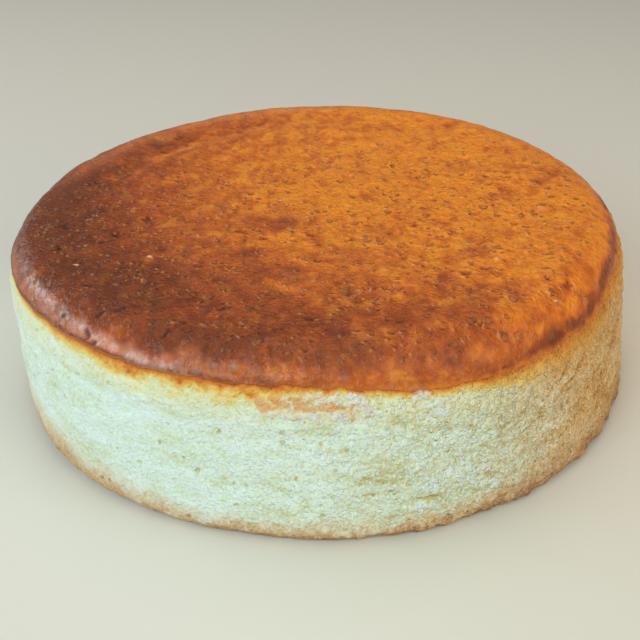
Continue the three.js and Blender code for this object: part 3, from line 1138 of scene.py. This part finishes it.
def skin_material():
    """Browned skin: orange to brown, with dark pits, pale chips and plum-coloured clouds, and painted
    highlights, sparkles and sheen.
    """
    tree = Tree("browned_skin")
    given = tree.attribute
    browning_and_relief_shade, rim, gloss_and_painted_sheen, spotty = given("browning_and_relief_shade"), given("rim"), given("gloss_and_painted_sheen"), given("spotty")
    drawn_out = tree.moved("MULTIPLY", tree.place, (1.0, 0.62, 1.0))
    loose = tree.warp(1.5, 1.6)
    beside = tree.moved("ADD", loose, (0.6, 0.4, 0.0))
    calm = tree.total(1.0, (browning_and_relief_shade, -0.5))
    soft = tree.times(tree.noise(2.8, place=drawn_out), calm)
    fine = tree.times(tree.noise(0.9, detail=3.0), spotty, calm)
    tone = tree.total(browning_and_relief_shade, rim, (soft, 0.75), (fine, 0.26))
    dark = tree.between(tone, 0.1, 0.9)

    # Clouds a few mm across
    plum = tree.between(tree.total(tree.noise(8.0, place=drawn_out), (rim, -0.5)), 0.0, 0.2, 0.0, 0.4)
    golden = tree.between(tree.noise(5.0, place=drawn_out), 0.02, 0.22)
    colour = tree.painted(
        tree.ramp(tone, BROWNING),
        (tree.times(plum, tree.total(0.4, (dark, 0.6))), tree.mix(dark, *PLUM)),
        (tree.times(golden, tree.total(0.6, (dark, -0.5))), GOLDEN),
    )

    # Spots and specks, each with a painted highlight on one side, and what the mesh says
    blots = tree.times(tree.spots(3.4, 1.6, 0.65, loose), spotty)
    specks = tree.times(tree.spots(1.8, 0.95, 0.55, loose), spotty)
    painted_highlight = tree.total((tree.spots(3.4, 1.4, 0.65, beside), 0.5), (tree.spots(1.8, 0.9, 0.55, beside), 0.45))
    hollow = tree.mix(dark, *HOLLOWS)
    glints = tree.times(tree.spots(1.1, 0.6, 0.6, loose), given("glints"))
    # The mesh's painted highlights on the pits' rims
    rim_highlights = tree.total(given("painted_highlight"), (fine, 0.9), (gloss_and_painted_sheen, -0.5), (dark, -0.25))
    pits = tree.total(given("pit"), (fine, 0.9))
    blisters = tree.total(given("blister"), (fine, 0.8))
    chips = tree.total(given("chip"), (fine, 0.9))
    colour = tree.painted(
        colour,
        (tree.times(painted_highlight, spotty, tree.total(1.0, (dark, -0.3))), PAINTED_HIGHLIGHT_SPOT),
        (tree.times(blots, 0.65), hollow),
        (tree.times(specks, 0.65), hollow),
        (tree.times(glints, 0.55), GLINT),
        (tree.times(given("rosy_and_painted_sheen"), 0.55), ROSY_AND_PAINTED_SHEEN),
        # Painted sheen: the window lamp's reflection along the left shoulder
        (tree.times(gloss_and_painted_sheen, 0.46), PAINTED_SHEEN),
        (tree.between(rim_highlights, 0.3, 0.8, 0.0, 0.7), PAINTED_RIM_HIGHLIGHT),
        (tree.between(pits, 0.2, 0.9, 0.0, 0.8), tree.mix(dark, *PITS)),
        (tree.between(blisters, 0.3, 0.8, 0.0, 0.7), BLISTER_HIGHLIGHT),
        (tree.between(chips, 0.35, 0.75, 0.0, 0.85), PALE_CHIP_AND_SPARKLE),
        (tree.times(given("orange_and_painted_lit_edge"), 0.9), ORANGE_AND_PAINTED_LIT_EDGE),
    )

    dimples = tree.times(tree.math("ABSOLUTE", tree.noise(1.8)), spotty)
    normal = tree.bump(tree.total(fine, (dimples, -1.7)), 0.7)
    normal = tree.bump(tree.total((blots, -0.5), (specks, -0.3), (glints, 0.2)), 1.0, normal)
    tree.fill(tree.shader, {
        "Base Color": colour,
        "Roughness": tree.between(tree.total(tree.noise(4.0), (gloss_and_painted_sheen, -0.5)), -0.4, 0.2, 0.2, 0.42),
        "Normal": tree.bump(soft, 0.8, normal),
        "Specular IOR Level": 0.45,
    })
    return tree.material


def crumb_material():
    """Moist foam: whitish grains with yellow-tan crevices, partly painted shade, toasted by the skin and
    the tin.
    """
    tree = Tree("crumb")
    given = tree.attribute
    loose = tree.warp(1.2, 1.3)
    grains = tree.times(tree.total(tree.grains(1.05, loose), -0.4), given("rough"))
    grit = tree.times(tree.noise(0.8, detail=3.0), given("rough"))
    pores = tree.spots(3.0, 1.0, 0.5, loose)
    crevice_tint_and_shade = tree.total(given("crevice_tint_and_shade"), (grains, 0.36), (grit, 1.1), (pores, 0.6), (given("yellow_and_painted_light"), 0.26))
    depth = tree.between(crevice_tint_and_shade, -0.65, 1.05)
    tan = tree.between(given("tan"), 0.0, 1.0)
    toast = tree.total(given("toast"), (grit, 0.3))
    toasted = tree.mix(tree.times(tan, 0.65), tree.ramp(toast, TOAST), TAN_TOAST)
    foot = tree.total(given("foot"), (grit, 0.5), (given("crevice_tint_and_shade"), 0.15))
    browned = tree.mix(tree.times(tan, 0.5), tree.ramp(foot, FOOT), TAN_FOOT)
    crust_spots = tree.times(tree.spots(2.6, 0.9, 0.5, loose), tree.between(foot, 0.3, 0.8, 0.0, 0.85))
    tear = tree.total(given("tear"), (grit, 0.5))
    white = tree.total(given("white"), (grit, 0.8))
    colour = tree.painted(
        tree.ramp(depth, PALE_CRUMB),
        (tan, tree.ramp(depth, BAKED_CRUMB)),
        (tree.between(toast, 0.0, 0.5), toasted),
        (tree.between(foot, 0.0, 0.8), browned),
        (crust_spots, CRUST_SPOT),
        (tree.between(tear, 0.1, 0.8, 0.0, 0.85), tree.ramp(given("flake"), FLAKES)),
        (tree.between(white, 0.1, 0.8, 0.0, 0.7), WHITE_LUMP),
    )
    tree.fill(tree.shader, {
        "Base Color": colour,
        "Roughness": tree.between(crevice_tint_and_shade, -0.5, 0.5, 0.6, 0.85),
        "Normal": tree.bump(tree.total(grains, (pores, 0.6)), -0.34, tree.bump(grit, 0.5)),
        "Subsurface Weight": 0.12,
        "Subsurface Radius": (1.0, 0.7, 0.4),
        "Subsurface Scale": 2.0 * MM,
    })
    return tree.material


# ---- camera, floor and light
CAMERA_DISTANCE = 326.07
CAMERA_AZIMUTH = -90
CAMERA_ELEVATION = 28.55
CAMERA_LOOK_HEIGHT = 26.7
CAMERA_LENS = 60.33
SENSOR_WIDTH = 36
CLIP_START = 10
CAMERA_YAW = 0.0051
CAMERA_PITCH = -0.0441
CAMERA_ROLL = 0.0183
FLOOR_REACH = 1500
FLOOR_DROP = 0.2  # keeps the floor clear of the cake's flat base
FLOOR_ROUGHNESS = 0.8
WORLD_COLOUR = (1.0, 0.98, 0.95, 1)
WORLD_STRENGTH = 0.21
LIGHT_AIM = Vector((0, 0, 25))
LIGHTS = (  # name, azimuth, elevation, distance, width, height, power, colour
    ("key", 243, 34, 700, 420, 420, 2.2, (0.69, 0.95, 0.97)),
    ("window", 172, 19, 700, 760, 90, 1.5, (0.9, 0.95, 1.0)),
    ("fill", 320, 30, 700, 420, 420, 1.6, (1.0, 0.86, 0.62)),
    ("overhead", 80, 75, 800, 600, 600, 1.9, (1.0, 0.92, 0.78)),
)


def direction(azimuth, elevation):
    """The unit vector towards an azimuth and an elevation, in degrees."""
    turn, lift = math.radians(azimuth), math.radians(elevation)
    return Vector((math.cos(turn) * math.cos(lift), math.sin(turn) * math.cos(lift), math.sin(lift)))


def aim(piece, target, azimuth, elevation, distance, turn=Matrix()):
    """Places a camera or lamp in a direction from its target, facing it, then turns it."""
    away = direction(azimuth, elevation)
    facing_target = away.to_track_quat("Z", "Y").to_matrix().to_4x4()
    piece.matrix_world = Matrix.Translation((target + away * distance) * MM) @ facing_target @ turn


def add_camera():
    data = bpy.data.cameras.new("camera")
    data.lens = CAMERA_LENS
    data.sensor_width = SENSOR_WIDTH
    data.clip_start = CLIP_START * MM
    camera = add_object("camera", data)
    target = Vector((0, 0, CAMERA_LOOK_HEIGHT)) - Vector(MIDDLE)
    turn = Matrix.Rotation(CAMERA_YAW, 4, "Y") @ Matrix.Rotation(CAMERA_PITCH, 4, "X")
    turn = turn @ Matrix.Rotation(-CAMERA_ROLL, 4, "Z")
    aim(camera, target, CAMERA_AZIMUTH, CAMERA_ELEVATION, CAMERA_DISTANCE, turn)
    bpy.context.scene.camera = camera


def add_area(name, azimuth, elevation, distance, wide, tall, power, colour):
    """A soft rectangular lamp that faces the cake from a direction; sizes in mm."""
    data = bpy.data.lights.new(name, "AREA")
    data.shape = "RECTANGLE"
    data.size = wide * MM
    data.size_y = tall * MM
    data.energy = power
    data.color = colour
    aim(add_object(name, data), LIGHT_AIM, azimuth, elevation, distance)


def add_floor():
    half = FLOOR_REACH * MM
    drop = -FLOOR_DROP * MM
    corners = [(-half, -half, drop), (half, -half, drop), (half, half, drop), (-half, half, drop)]
    mesh = bpy.data.meshes.new("floor")
    mesh.from_pydata(corners, [], [(0, 1, 2, 3)])
    floor = add_object("floor", mesh)
    tree = Tree("floor")
    tree.fill(tree.shader, {"Base Color": FLOOR, "Roughness": FLOOR_ROUGHNESS})
    mesh.materials.append(tree.material)


def add_world():
    world = bpy.data.worlds.new("studio")
    world.use_nodes = True
    background = world.node_tree.nodes["Background"]
    background.inputs["Color"].default_value = WORLD_COLOUR
    background.inputs["Strength"].default_value = WORLD_STRENGTH
    bpy.context.scene.world = world


# ---- the scene
skin = skin_piece()
crumb = crumb_piece()
skin.data.materials.append(skin_material())
crumb.data.materials.append(crumb_material())
for piece in (skin, crumb):
    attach(piece, "root")
    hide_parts("cheesecake")

add_camera()
add_floor()
add_world()
for light in LIGHTS:
    add_area(*light)
bpy.context.scene.view_settings.view_transform = "Standard"
